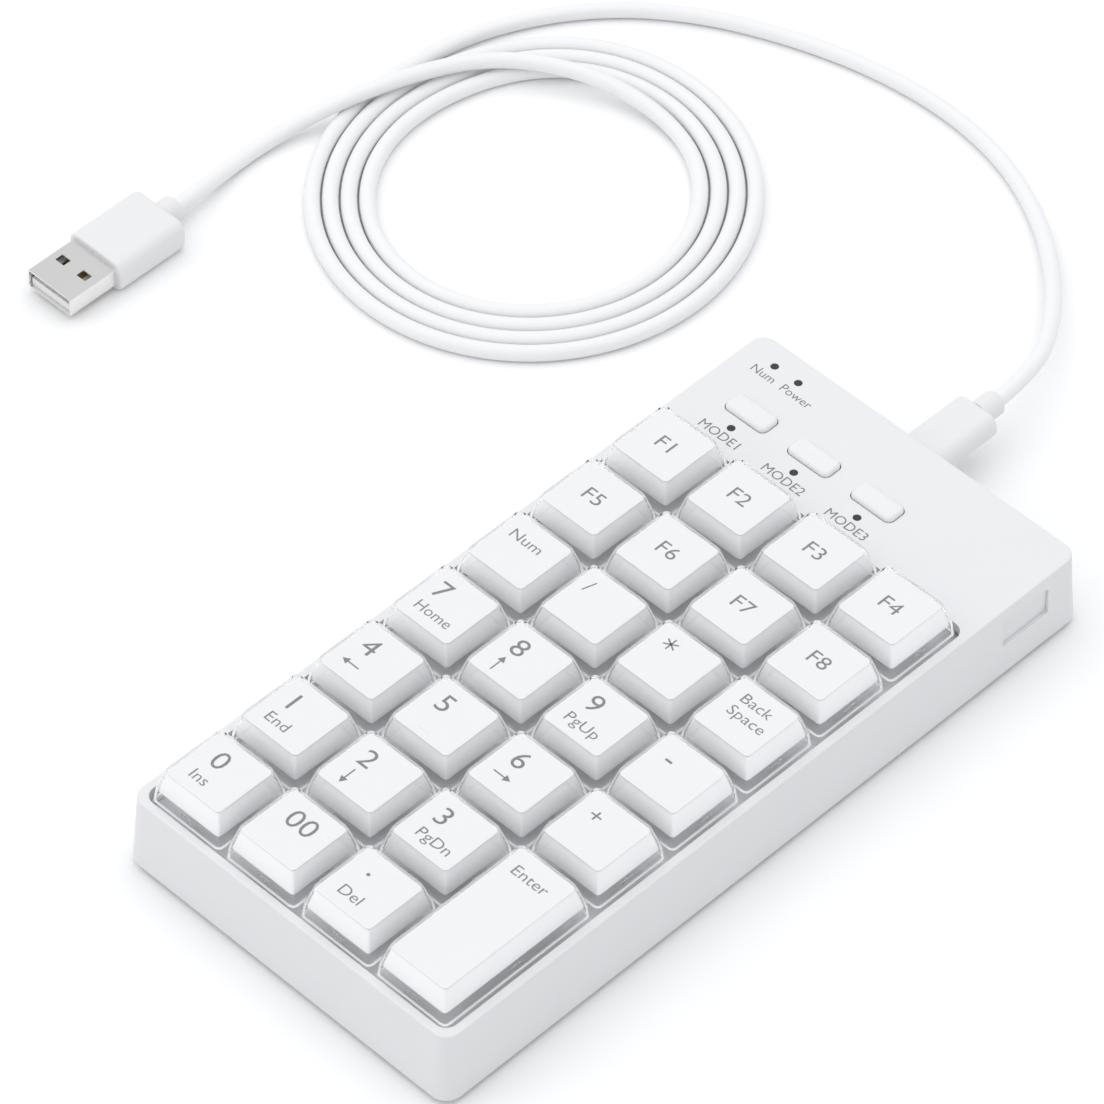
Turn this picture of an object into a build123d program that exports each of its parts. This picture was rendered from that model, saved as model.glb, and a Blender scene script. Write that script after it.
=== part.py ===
from build123d import *
import math
import os

# Numeric keypad: a flat two-part housing with a sunken block of 27 sprung keys, three mode buttons,
# five status lamps, and a lead that leaves the rear wall and lies coiled beside it.
# Millimetres, +Z up, +Y to the rear. The origin is on the desk, under the middle of the housing.

# ---- housing ----
FOOT_LIFT = 1.2
DECK_Z = 17.6
DECK_HALF_X, DECK_HALF_Y = 40.1, 82.1
WALL_FLARE = 1.0
DECK_THICK = 2.0
COVER_THICK = 2.0
INNER_HALF_X, INNER_HALF_Y = 38.4, 80.4
CORNER_RADIUS = 3.2
EDGE_ROUND = 0.3
WELL_REAR_Y = 53.1
LEDGE = 0.7
LEDGE_Z, LEDGE_THICK = 13.8, 0.8

# ---- keys ----
PITCH = 19.0
GRID_Y = -13.83
LABEL_Z = 24.1
LABEL_THICK = 0.2
LABEL_HALF = 6.74
TOP_HALF, BEND_HALF, SKIRT_HALF = 6.95, 8.45, 8.8
COVER_TOP_Z, BEND_Z, SKIRT_Z = 25.0, 19.9, 17.0
STEM_SIDE, STEM_FOOT_Z = 5.0, 11.6
POST_SIDE = 3.4
POST_SPREAD = 9.5
RUNNING_GAP = 0.1

# ---- inside ----
PLATE_Z, PLATE_THICK = 12.6, 1.2
BOARD_Z, BOARD_THICK = 6.2, 1.6
SHEET_THICK = 0.5
DOME_TOP_Z = 11.5
TOUCH_GAP = 0.02

# ---- mode buttons and lamps ----
BUTTON_X = [-26.8, -10.7, 5.4]
BUTTON_Y = 64.9
BUTTON_SIZE = (10.3, 4.8)
LAMP_SPOTS = [(-32.3, 77.0), (-26.2, 77.0), (-27.0, 59.6), (-10.9, 59.6), (5.2, 59.6)]
LAMP_RADIUS = 0.8

# ---- lead ----
CORD_DIA = 3.3
CORD_REST_Z = CORD_DIA / 2
SOCKET_X, SOCKET_Z = -1.8, 9.4
PLUG_BACK_Y = 101.0
RELIEF_END_Y = 105.9
COIL_X, COIL_Y = -108.0, 89.2
COIL_OUTER_R, COIL_INNER_R = 45.0, 30.8
USB_X, USB_Z = -153.1, 3.7

KEY_ROWS = [
    ["f1", "f2", "f3", "f4"],
    ["f5", "f6", "f7", "f8"],
    ["num_lock", "divide", "multiply", "backspace"],
    ["7", "8", "9", "minus"],
    ["4", "5", "6", "plus"],
    ["1", "2", "3", "enter"],
    ["0", "00", "decimal"],
]

os.makedirs("parts", exist_ok=True)


def save(solid, name):
    solid.label = name
    export_step(solid, f"parts/{name}.step")


def key_spot(row, column):
    return ((column - 1.5) * PITCH, GRID_Y + (3 - row) * PITCH)


def key_places():
    """Name, centre x, centre y and height in units of each key."""
    places = []
    for row, names in enumerate(KEY_ROWS):
        for column, name in enumerate(names):
            x, y = key_spot(row, column)
            if name == "enter":
                places.append((name, x, y - PITCH / 2, 2))
            else:
                places.append((name, x, y, 1))
    return places


PLACES = key_places()
STEM_SPOTS = [(x, y) for name, x, y, units in PLACES]
ENTER_X, ENTER_Y = next((x, y) for name, x, y, units in PLACES if name == "enter")
POST_SPOTS = [(ENTER_X, ENTER_Y + side * POST_SPREAD) for side in (-1, 1)]
LONG_BOSSES = [(side * PITCH, GRID_Y + step * PITCH) for side in (-1, 1) for step in (2.5, 0.5, -2.5)]
BOARD_BOSSES = [(side * PITCH, GRID_Y + step * PITCH) for side in (-1, 1) for step in (1.5, -1.5)]
PLATE_BOSSES = [(x, 55.5) for x in (-33.0, 12.0, 33.0)]
FOOT_SPOTS = [(side_x * 31.0, side_y * 73.0) for side_x in (-1, 1) for side_y in (-1, 1)]

# ---- top shell ----
with BuildPart() as top_shell:
    with BuildSketch(Plane.XY.offset(FOOT_LIFT)):
        RectangleRounded(
            2 * (DECK_HALF_X + WALL_FLARE), 2 * (DECK_HALF_Y + WALL_FLARE), CORNER_RADIUS + 0.5
        )
    with BuildSketch(Plane.XY.offset(DECK_Z)):
        RectangleRounded(2 * DECK_HALF_X, 2 * DECK_HALF_Y, CORNER_RADIUS)
    loft(ruled=True)
    fillet(top_shell.faces().sort_by(Axis.Z)[-1].edges(), radius=EDGE_ROUND)
    fillet(top_shell.faces().sort_by(Axis.Z)[0].edges(), radius=EDGE_ROUND)
    with BuildSketch(Plane.XY.offset(FOOT_LIFT)):
        RectangleRounded(2 * INNER_HALF_X, 2 * INNER_HALF_Y, 2.5)
    extrude(amount=DECK_Z - DECK_THICK - FOOT_LIFT, mode=Mode.SUBTRACT)
    with BuildSketch(Plane.XY.offset(DECK_Z)):
        with Locations((0, (WELL_REAR_Y - INNER_HALF_Y) / 2)):
            RectangleRounded(2 * INNER_HALF_X, WELL_REAR_Y + INNER_HALF_Y, 2.5)
        with Locations(*[(x, BUTTON_Y) for x in BUTTON_X]):
            RectangleRounded(BUTTON_SIZE[0] + 0.4, BUTTON_SIZE[1] + 0.4, 1.5)
        with Locations(*LAMP_SPOTS):
            Circle(LAMP_RADIUS + 0.04)
    extrude(amount=-DECK_THICK, mode=Mode.SUBTRACT)
    # the ledge that the guide plate is pulled up against, round three sides of the well
    with BuildSketch(Plane.XY.offset(LEDGE_Z)):
        with Locations((0, (WELL_REAR_Y - INNER_HALF_Y) / 2)):
            Rectangle(2 * INNER_HALF_X, WELL_REAR_Y + INNER_HALF_Y)
        with Locations((0, (WELL_REAR_Y - INNER_HALF_Y + LEDGE) / 2)):
            Rectangle(2 * (INNER_HALF_X - LEDGE), WELL_REAR_Y + INNER_HALF_Y - LEDGE, mode=Mode.SUBTRACT)
    extrude(amount=LEDGE_THICK)
    # bosses under the deck for the plate screws
    with BuildSketch(Plane.XY.offset(PLATE_Z + PLATE_THICK)):
        with Locations(*PLATE_BOSSES):
            Circle(2.2)
            Circle(0.9, mode=Mode.SUBTRACT)
    extrude(amount=DECK_Z - DECK_THICK - PLATE_Z - PLATE_THICK)
    # rear opening for the socket
    with BuildSketch(Plane.XZ.offset(-(INNER_HALF_Y - 1))):
        with Locations((SOCKET_X, SOCKET_Z)):
            RectangleRounded(9.5, 3.8, 1.6)
    extrude(amount=-6, mode=Mode.SUBTRACT)
    # opening in the right-hand wall
    with BuildSketch(Plane.YZ.offset(INNER_HALF_X - 1)):
        with Locations((67.6, 11.3)):
            RectangleRounded(12.4, 6.1, 0.4)
    extrude(amount=6, mode=Mode.SUBTRACT)
save(top_shell.part, "top_shell")

# ---- bottom cover ----
COVER_INNER_Z = FOOT_LIFT + COVER_THICK
BOSS_FOOT_Z = 5.2
HEAD_TOP_Z = 3.8
with BuildPart() as bottom_cover:
    with BuildSketch(Plane.XY.offset(FOOT_LIFT)):
        RectangleRounded(2 * INNER_HALF_X - 0.3, 2 * INNER_HALF_Y - 0.3, 2.3)
    extrude(amount=COVER_THICK)
    with BuildSketch(Plane.XY.offset(COVER_INNER_Z)):
        with Locations(*LONG_BOSSES):
            Circle(4.0)
    extrude(amount=BOSS_FOOT_Z - COVER_INNER_Z)
    # rests under the circuit board
    with BuildSketch(Plane.XY.offset(COVER_INNER_Z)):
        with Locations((-34, 40), (34, 40), (-34, -20), (34, -20), (-34, 76), (34, 76), (0, 76), (0, -76)):
            Circle(2.0)
    extrude(amount=BOARD_Z - COVER_INNER_Z)
    # stiffening ribs
    with BuildSketch(Plane.XY.offset(COVER_INNER_Z)):
        with Locations((-9.5, 0), (9.5, 0)):
            Rectangle(1.2, 120)
        with GridLocations(0, 30, 1, 4):
            Rectangle(66, 1.2)
    extrude(amount=1.2)
    with BuildSketch(Plane.XY.offset(FOOT_LIFT)):
        with Locations(*LONG_BOSSES):
            Circle(2.7)
    extrude(amount=HEAD_TOP_Z - FOOT_LIFT, mode=Mode.SUBTRACT)
    with BuildSketch(Plane.XY.offset(FOOT_LIFT)):
        with Locations(*LONG_BOSSES):
            Circle(1.3)
    extrude(amount=BOSS_FOOT_Z, mode=Mode.SUBTRACT)
    with BuildSketch(Plane.XY.offset(FOOT_LIFT)):
        with Locations(*FOOT_SPOTS):
            Circle(4.7)
    extrude(amount=0.5, mode=Mode.SUBTRACT)
save(bottom_cover.part, "bottom_cover")

with BuildPart() as rubber_feet:
    with BuildSketch(Plane.XY):
        with Locations(*FOOT_SPOTS):
            Circle(4.5)
    extrude(amount=FOOT_LIFT + 0.5 - TOUCH_GAP)
    fillet(rubber_feet.edges().group_by(Axis.Z)[0], radius=0.5)
save(rubber_feet.part, "rubber_feet")

# ---- key guide plate ----
GUIDE_TOP_Z = 17.5
BORE = STEM_SIDE + 2 * RUNNING_GAP
POST_BORE = POST_SIDE + 2 * RUNNING_GAP
PLATE_REAR_Y = 57.9
with BuildPart() as key_guide_plate:
    with BuildSketch(Plane.XY.offset(PLATE_Z)):
        with Locations((0, (PLATE_REAR_Y - INNER_HALF_Y + 0.2) / 2)):
            RectangleRounded(2 * INNER_HALF_X - 0.4, PLATE_REAR_Y + INNER_HALF_Y - 0.2, 2)
    extrude(amount=PLATE_THICK)
    with BuildSketch(Plane.XY.offset(PLATE_Z)):
        with Locations(*STEM_SPOTS):
            RectangleRounded(BORE + 2.4, BORE + 2.4, 1.2)
        with Locations(*POST_SPOTS):
            RectangleRounded(POST_BORE + 2, POST_BORE + 2, 1)
    extrude(amount=GUIDE_TOP_Z - PLATE_Z)
    with BuildSketch(Plane.XY.offset(BOSS_FOOT_Z)):
        with Locations(*LONG_BOSSES):
            Circle(2.7)
    extrude(amount=PLATE_Z - BOSS_FOOT_Z)
    with BuildSketch(Plane.XY.offset(BOARD_Z + BOARD_THICK)):
        with Locations(*BOARD_BOSSES):
            Circle(2.4)
    extrude(amount=PLATE_Z - BOARD_Z - BOARD_THICK)
    with BuildSketch(Plane.XY.offset(PLATE_Z)):
        with Locations(*STEM_SPOTS):
            RectangleRounded(BORE, BORE, 0.6)
        with Locations(*POST_SPOTS):
            RectangleRounded(POST_BORE, POST_BORE, 0.5)
        with Locations(*PLATE_BOSSES):
            Circle(1.1)
    extrude(amount=GUIDE_TOP_Z - PLATE_Z, mode=Mode.SUBTRACT)
    with BuildSketch(Plane.XY.offset(BOSS_FOOT_Z)):
        with Locations(*LONG_BOSSES):
            Circle(1.15)
    extrude(amount=6, mode=Mode.SUBTRACT)
    with BuildSketch(Plane.XY.offset(BOARD_Z + BOARD_THICK)):
        with Locations(*BOARD_BOSSES):
            Circle(0.95)
    extrude(amount=4, mode=Mode.SUBTRACT)
save(key_guide_plate.part, "key_guide_plate")


# ---- screws: head below, shank up ----
def screws(spots, head_bottom, head_radius, head_height, shank_radius, shank_top):
    with BuildPart() as group:
        with BuildSketch(Plane.XY.offset(head_bottom)):
            with Locations(*spots):
                Circle(head_radius)
        extrude(amount=head_height)
        with BuildSketch(Plane.XY.offset(head_bottom)):
            with Locations(*spots):
                Circle(shank_radius)
        extrude(amount=shank_top - head_bottom)
        fillet(group.edges().group_by(Axis.Z)[0], radius=0.4)
        with BuildSketch(Plane.XY.offset(head_bottom)):
            with Locations(*spots):
                Rectangle(0.42 * head_radius, 1.5 * head_radius)
                Rectangle(1.5 * head_radius, 0.42 * head_radius)
        extrude(amount=0.55 * head_height, mode=Mode.SUBTRACT)
    return group.part


save(screws(LONG_BOSSES, 2.2, 2.4, HEAD_TOP_Z - 2.2, 1.1, 10.8), "housing_screws")
save(screws(BOARD_BOSSES, BOARD_Z - 1.2, 1.9, 1.2, 0.9, 11.4), "board_screws")
save(screws(PLATE_BOSSES, PLATE_Z - 1.1, 1.8, 1.1, 0.85, 15.2), "plate_screws")

# ---- rubber dome sheet ----
SHEET_Z = BOARD_Z + BOARD_THICK + TOUCH_GAP
with BuildPart() as rubber_dome_sheet:
    with BuildSketch(Plane.XY.offset(SHEET_Z)):
        with Locations((0, (52.5 - 79.2) / 2)):
            RectangleRounded(74.8, 52.5 + 79.2, 2)
        with Locations(*(LONG_BOSSES + BOARD_BOSSES)):
            Circle(3.1, mode=Mode.SUBTRACT)
    extrude(amount=SHEET_THICK)
    upright = (Align.CENTER, Align.CENTER, Align.MIN)
    with Locations(*[(x, y, SHEET_Z) for x, y in STEM_SPOTS]):
        Cone(5.0, 2.8, DOME_TOP_Z - SHEET_Z, align=upright)
    with Locations(*[(x, y, SHEET_Z) for x, y in STEM_SPOTS]):
        Cone(4.4, 2.3, DOME_TOP_Z - SHEET_Z - 1.2, align=upright, mode=Mode.SUBTRACT)
save(rubber_dome_sheet.part, "rubber_dome_sheet")

# ---- circuit board and what stands on it ----
BOARD_TOP_Z = BOARD_Z + BOARD_THICK
with BuildPart() as circuit_board:
    with BuildSketch(Plane.XY.offset(BOARD_Z)):
        RectangleRounded(75.0, 158.6, 2)
        with Locations(*LONG_BOSSES):
            Circle(2.95, mode=Mode.SUBTRACT)
        with Locations(*BOARD_BOSSES):
            Circle(1.0, mode=Mode.SUBTRACT)
    extrude(amount=BOARD_THICK)
save(circuit_board.part, "circuit_board")

PART_Z = BOARD_TOP_Z + TOUCH_GAP
CHIP_SPOT = (22.0, 66.0)
with BuildPart() as controller_chip:
    with BuildSketch(Plane.XY.offset(PART_Z + 0.1)):
        with Locations(CHIP_SPOT):
            Rectangle(7, 7)
    extrude(amount=1.0)
    chamfer(controller_chip.faces().sort_by(Axis.Z)[-1].edges(), length=0.2)
    with BuildSketch(Plane.XY.offset(PART_Z)):
        for turn in (0, 1):
            size = (0.25, 9.0) if turn == 0 else (9.0, 0.25)
            with Locations(CHIP_SPOT):
                with GridLocations(0.8 * (1 - turn), 0.8 * turn, 8 - 7 * turn, 1 + 7 * turn):
                    Rectangle(*size)
    extrude(amount=0.3)
save(controller_chip.part, "controller_chip")

with BuildPart() as board_components:
    with BuildSketch(Plane.XY.offset(PART_Z)):
        with Locations((33.2, 70), (33.2, 66), (33.2, 62), (15.5, 74), (19, 74), (22.5, 74), (-8, 71.5)):
            Rectangle(2.0, 1.25)
        with Locations((22, 58.2)):
            RectangleRounded(7.0, 3.2, 1.5)
        with Locations((12, 68)):
            Rectangle(3.0, 1.6)
    extrude(amount=0.9)
save(board_components.part, "board_components")

with BuildPart() as status_leds:
    with BuildSketch(Plane.XY.offset(PART_Z)):
        with Locations(*LAMP_SPOTS):
            Rectangle(1.6, 0.8)
    extrude(amount=0.7)
save(status_leds.part, "status_leds")

with BuildPart() as led_light_guides:
    with BuildSketch(Plane.XY.offset(PART_Z + 0.9)):
        with Locations(*LAMP_SPOTS):
            Circle(LAMP_RADIUS)
    extrude(amount=DECK_Z - 0.05 - PART_Z - 0.9)
    with BuildSketch(Plane.XY.offset(DECK_Z - DECK_THICK - 0.8)):
        with Locations(*LAMP_SPOTS):
            Circle(LAMP_RADIUS + 0.5)
    extrude(amount=0.75)
save(led_light_guides.part, "led_light_guides")

SWITCH_TOP_Z = 12.9
with BuildPart() as mode_switches:
    with BuildSketch(Plane.XY.offset(PART_Z)):
        with Locations(*[(x, BUTTON_Y) for x in BUTTON_X]):
            RectangleRounded(6, 6, 0.4)
    extrude(amount=3.4)
    with BuildSketch(Plane.XY.offset(PART_Z)):
        with Locations(*[(x, BUTTON_Y) for x in BUTTON_X]):
            Circle(1.7)
    extrude(amount=SWITCH_TOP_Z - PART_Z)
save(mode_switches.part, "mode_switches")

# ---- socket for the lead ----
SOCKET_FRONT_Y, SOCKET_REAR_Y = 74.6, 82.0
with BuildPart() as socket_shell:
    with BuildSketch(Plane.XZ.offset(-SOCKET_FRONT_Y)):
        with Locations((SOCKET_X, SOCKET_Z)):
            RectangleRounded(8.94, 3.16, 1.55)
    extrude(amount=-(SOCKET_REAR_Y - SOCKET_FRONT_Y))
    with BuildSketch(Plane.XZ.offset(-SOCKET_FRONT_Y - 0.4)):
        with Locations((SOCKET_X, SOCKET_Z)):
            RectangleRounded(8.36, 2.56, 1.26)
    extrude(amount=-(SOCKET_REAR_Y - SOCKET_FRONT_Y), mode=Mode.SUBTRACT)
save(socket_shell.part, "socket_shell")

with BuildPart() as socket_tongue:
    with BuildSketch(Plane.XZ.offset(-(SOCKET_FRONT_Y + 0.45))):
        with Locations((SOCKET_X, SOCKET_Z)):
            RectangleRounded(6.6, 0.7, 0.2)
    extrude(amount=-5.0)
save(socket_tongue.part, "socket_tongue")

# ---- blanking plate in the right-hand wall ----
with BuildPart() as side_blanking_plate:
    with BuildSketch(Plane.YZ.offset(INNER_HALF_X - TOUCH_GAP)):
        with Locations((67.6, 11.3)):
            RectangleRounded(12.28, 5.98, 0.35)
    extrude(amount=1.5)
    with BuildSketch(Plane.YZ.offset(INNER_HALF_X - TOUCH_GAP)):
        with Locations((67.6, 11.3)):
            Rectangle(14.2, 7.6)
    extrude(amount=-0.8)
save(side_blanking_plate.part, "side_blanking_plate")


# ---- keys: (height, half width, corner radius) from the skirt up ----
CAP_FOOT_Z = 19.3
CAP_OUTSIDE = [(CAP_FOOT_Z, 7.8, 1.0), (BEND_Z, 7.75, 1.0), (LABEL_Z - LABEL_THICK - TOUCH_GAP, 6.7, 0.8)]
CAP_INSIDE = [(CAP_FOOT_Z, 6.85, 0.6), (BEND_Z, 6.75, 0.6), (22.7, 6.0, 0.5)]
COVER_OUTSIDE = [(SKIRT_Z, SKIRT_HALF, 1.2), (BEND_Z, BEND_HALF, 1.2), (COVER_TOP_Z, TOP_HALF, 1.2)]
COVER_INSIDE = [(SKIRT_Z, 8.2, 1.1), (BEND_Z, 7.83, 1.1), (LABEL_Z, 6.8, 0.9)]
STEM_TOP_Z = 23.0
HOME_BAR, HOME_BAR_Y = (3.2, 0.4, 0.2), -5.8
CATCH_Z, CATCH_OUT, CATCH_DEEP, CATCH_WIDE, CATCH_TALL = 17.4, 8.2, 0.5, 3.0, 0.8


def key(name, x, y, units):
    """One key: white cap with its stem, label and clear cover, as three separate solids."""
    long = (units - 1) * PITCH / 2
    with BuildPart() as cap:
        for height, half, radius in CAP_OUTSIDE:
            with BuildSketch(Plane((x, y, height))):
                RectangleRounded(2 * half, 2 * (half + long), radius)
        loft(ruled=True)
        for height, half, radius in CAP_INSIDE:
            with BuildSketch(Plane((x, y, height))):
                RectangleRounded(2 * half, 2 * (half + long), radius)
        loft(ruled=True, mode=Mode.SUBTRACT)
        with BuildSketch(Plane((x, y, STEM_FOOT_Z))):
            RectangleRounded(STEM_SIDE, STEM_SIDE, 0.5)
        extrude(amount=STEM_TOP_Z - STEM_FOOT_Z)
        # hooks under the guide plate hold the key in
        with BuildSketch(Plane((x, y, STEM_FOOT_Z + 0.2))):
            Rectangle(STEM_SIDE + 1.4, 2.0)
        extrude(amount=PLATE_Z - RUNNING_GAP - STEM_FOOT_Z - 0.2)
        if units == 2:
            with BuildSketch(Plane((x, y, PLATE_Z + 0.4))):
                with Locations((0, -POST_SPREAD), (0, POST_SPREAD)):
                    RectangleRounded(POST_SIDE, POST_SIDE, 0.4)
            extrude(amount=STEM_TOP_Z - PLATE_Z - 0.4)
    with BuildPart() as label:
        with BuildSketch(Plane((x, y, LABEL_Z - LABEL_THICK))):
            RectangleRounded(2 * LABEL_HALF, 2 * (LABEL_HALF + long), 0.85)
        extrude(amount=LABEL_THICK - TOUCH_GAP)
    with BuildPart() as cover:
        for height, half, radius in COVER_OUTSIDE:
            with BuildSketch(Plane((x, y, height))):
                RectangleRounded(2 * half, 2 * (half + long), radius)
        loft(ruled=True)
        fillet(cover.faces().sort_by(Axis.Z)[-1].edges(), radius=0.3)
        for height, half, radius in COVER_INSIDE:
            with BuildSketch(Plane((x, y, height))):
                RectangleRounded(2 * half, 2 * (half + long), radius)
        loft(ruled=True, mode=Mode.SUBTRACT)
        # four catches inside the skirt that clip the cover on
        with BuildSketch(Plane((x, y, CATCH_Z))):
            with Locations((-CATCH_OUT, 0), (CATCH_OUT, 0)):
                Rectangle(CATCH_DEEP, CATCH_WIDE)
            with Locations((0, -CATCH_OUT - long), (0, CATCH_OUT + long)):
                Rectangle(CATCH_WIDE, CATCH_DEEP)
        extrude(amount=CATCH_TALL)
        if name == "5":
            with BuildSketch(Plane((x, y, COVER_TOP_Z - 0.1))):
                with Locations((0, HOME_BAR_Y)):
                    RectangleRounded(HOME_BAR[0], HOME_BAR[1], 0.19)
            extrude(amount=0.1 + HOME_BAR[2])
    whole = Compound(children=[cap.part.solid(), label.part.solid(), cover.part.solid()])
    save(whole, f"key_{name}")


for place in PLACES:
    key(*place)


# ---- mode buttons ----
def mode_button(number, x):
    with BuildPart() as button:
        with BuildSketch(Plane((x, BUTTON_Y, DECK_Z - DECK_THICK - 0.1))):
            RectangleRounded(BUTTON_SIZE[0], BUTTON_SIZE[1], 1.3)
        extrude(amount=DECK_THICK + 1.0)
        fillet(button.faces().sort_by(Axis.Z)[-1].edges(), radius=0.8)
        with BuildSketch(Plane((x, BUTTON_Y, DECK_Z - DECK_THICK - 0.1))):
            RectangleRounded(BUTTON_SIZE[0] + 1.8, BUTTON_SIZE[1] + 1.4, 1.5)
        extrude(amount=-0.8)
        with BuildSketch(Plane((x, BUTTON_Y, DECK_Z - DECK_THICK - 0.9))):
            Circle(1.4)
        extrude(amount=-(DECK_Z - DECK_THICK - 0.9 - SWITCH_TOP_Z - 0.1))
    save(button.part, f"mode_button_{number}")


for number, button_x in enumerate(BUTTON_X, start=1):
    mode_button(number, button_x)


# ---- plug at the keypad end ----
PLUG_FRONT_Y = 82.9
with BuildPart() as device_plug_body:
    with BuildSketch(Plane.XZ.offset(-PLUG_FRONT_Y)):
        with Locations((SOCKET_X, SOCKET_Z)):
            RectangleRounded(10.4, 5.8, 2.6)
    extrude(amount=-(PLUG_BACK_Y - PLUG_FRONT_Y))
    fillet(device_plug_body.faces().sort_by(Axis.Y)[-1].edges(), radius=0.8)
save(device_plug_body.part, "device_plug_body")

with BuildPart() as device_plug_tip:
    with BuildSketch(Plane.XZ.offset(-(PLUG_FRONT_Y - 6.5))):
        with Locations((SOCKET_X, SOCKET_Z)):
            RectangleRounded(8.26, 2.46, 1.2)
            RectangleRounded(7.0, 1.5, 0.7, mode=Mode.SUBTRACT)
    extrude(amount=-6.5)
save(device_plug_tip.part, "device_plug_tip")

with BuildPart() as device_plug_relief:
    with BuildSketch(Plane.XZ.offset(-PLUG_BACK_Y)):
        with Locations((SOCKET_X, SOCKET_Z)):
            Circle(2.6)
    extrude(amount=-(RELIEF_END_Y - PLUG_BACK_Y))
    fillet(device_plug_relief.faces().sort_by(Axis.Y)[-1].edges(), radius=0.5)
save(device_plug_relief.part, "device_plug_relief")

# ---- USB-A plug at the far end, lying flat on the desk ----
USB_TIP_Y = 2.3
USB_FRONT_Y, USB_BACK_Y, USB_RELIEF_Y = 14.2, 31.6, 35.4
with BuildPart() as usb_plug_body:
    with BuildSketch(Plane.XZ.offset(-USB_FRONT_Y)):
        with Locations((USB_X + 0.2, USB_Z)):
            RectangleRounded(14.6, 2 * USB_Z, 2.4)
    extrude(amount=-(USB_BACK_Y - USB_FRONT_Y))
    fillet(usb_plug_body.faces().sort_by(Axis.Y)[-1].edges(), radius=1.0)
    fillet(usb_plug_body.faces().sort_by(Axis.Y)[0].edges(), radius=0.6)
save(usb_plug_body.part, "usb_plug_body")

with BuildPart() as usb_plug_shell:
    with BuildSketch(Plane.XZ.offset(-USB_TIP_Y)):
        with Locations((USB_X, USB_Z)):
            RectangleRounded(12.0, 4.5, 0.5)
            RectangleRounded(11.4, 3.9, 0.3, mode=Mode.SUBTRACT)
    extrude(amount=-(USB_FRONT_Y - USB_TIP_Y))
    # two square windows above and two below
    with BuildSketch(Plane.XY.offset(0)):
        with Locations((USB_X - 3.0, 8.8), (USB_X + 3.0, 8.8)):
            Rectangle(2.4, 1.9)
    extrude(amount=2 * USB_Z, mode=Mode.SUBTRACT)
save(usb_plug_shell.part, "usb_plug_shell")

with BuildPart() as usb_plug_tongue:
    with BuildSketch(Plane.XZ.offset(-(USB_TIP_Y + 0.6))):
        with Locations((USB_X, USB_Z - 1.0)):
            Rectangle(11.0, 1.85)
    extrude(amount=-(USB_FRONT_Y - USB_TIP_Y - 0.65))
save(usb_plug_tongue.part, "usb_plug_tongue")

with BuildPart() as usb_plug_contacts:
    with BuildSketch(Plane.XY.offset(USB_Z - 0.06)):
        with Locations(*[(USB_X + side, USB_TIP_Y + 5.6) for side in (-3.5, -1.0, 1.0, 3.5)]):
            Rectangle(1.2, 7.6)
    extrude(amount=0.12)
save(usb_plug_contacts.part, "usb_plug_contacts")

with BuildPart() as usb_plug_relief:
    with BuildSketch(Plane.XZ.offset(-USB_BACK_Y)):
        with Locations((USB_X, USB_Z)):
            Circle(2.8)
    extrude(amount=-(USB_RELIEF_Y - USB_BACK_Y))
    fillet(usb_plug_relief.faces().sort_by(Axis.Y)[-1].edges(), radius=0.5)
save(usb_plug_relief.part, "usb_plug_relief")

# ---- the lead: two tubes and the coil between them ----
DEVICE_ROUTE = [
    (SOCKET_X, RELIEF_END_Y, SOCKET_Z),
    (-2.9, 118.2, 9.5),
    (-10.5, 130.3, 7.2),
    (-20.0, 142.0, 3.6),
    (-33.0, 153.2, CORD_REST_Z),
    (-49.0, 160.8, CORD_REST_Z),
    (-67.0, 163.6, CORD_REST_Z),
    (-86.0, 161.9, CORD_REST_Z),
    (-104.0, 156.5, CORD_REST_Z),
    (-120.5, 148.7, CORD_REST_Z),
    (-134.0, 138.0, CORD_REST_Z),
    (-143.6, 124.5, CORD_REST_Z),
    (-149.5, 109.5, CORD_REST_Z),
    (-151.6, 95.0, CORD_REST_Z),
]
PLUG_ROUTE = [
    (-88.5, 117.2, CORD_REST_Z),
    (-96.5, 120.4, CORD_REST_Z + 0.1),
    (-105.2, 122.0, 2.5),
    (-114.2, 120.9, 3.9),
    (-123.5, 117.4, 5.2),
    (-132.3, 112.6, 5.3),
    (-139.3, 106.0, 5.4),
    (-144.3, 97.2, 5.3),
    (-148.0, 87.0, 5.4),
    (-151.2, 76.5, 4.8),
    (-154.4, 66.2, 2.3),
    (-155.2, 57.5, CORD_REST_Z),
    (-154.6, 49.8, 2.2),
    (USB_X, 42.5, USB_Z),
    (USB_X, USB_RELIEF_Y, USB_Z),
]


def bend_radii(points):
    """Each corner's arc takes 0.45 of its shorter run."""
    radii = []
    for before, corner, after in zip(points, points[1:], points[2:]):
        arriving = Vector(*corner) - Vector(*before)
        leaving = Vector(*after) - Vector(*corner)
        half_turn = math.radians(arriving.get_angle(leaving)) / 2
        radii.append(0.45 * min(arriving.length, leaving.length) / math.tan(half_turn))
    return radii


def cord_tube(name, points):
    radii = bend_radii(points)
    print(name, "bend radii", [round(radius, 1) for radius in radii])
    with BuildPart() as tube:
        with BuildLine() as path:
            route = FilletPolyline(*points, radius=radii)
        with BuildSketch(Plane(route @ 0, z_dir=route % 0)):
            Circle(CORD_DIA / 2)
        sweep(path=route)
    section = math.pi * (CORD_DIA / 2) ** 2
    print(name, "length", round(route.length, 1), "volume / section", round(tube.part.volume / section, 1))
    save(tube.part, name)


cord_tube("cable_to_keypad", DEVICE_ROUTE)
cord_tube("cable_to_plug", PLUG_ROUTE)

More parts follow.
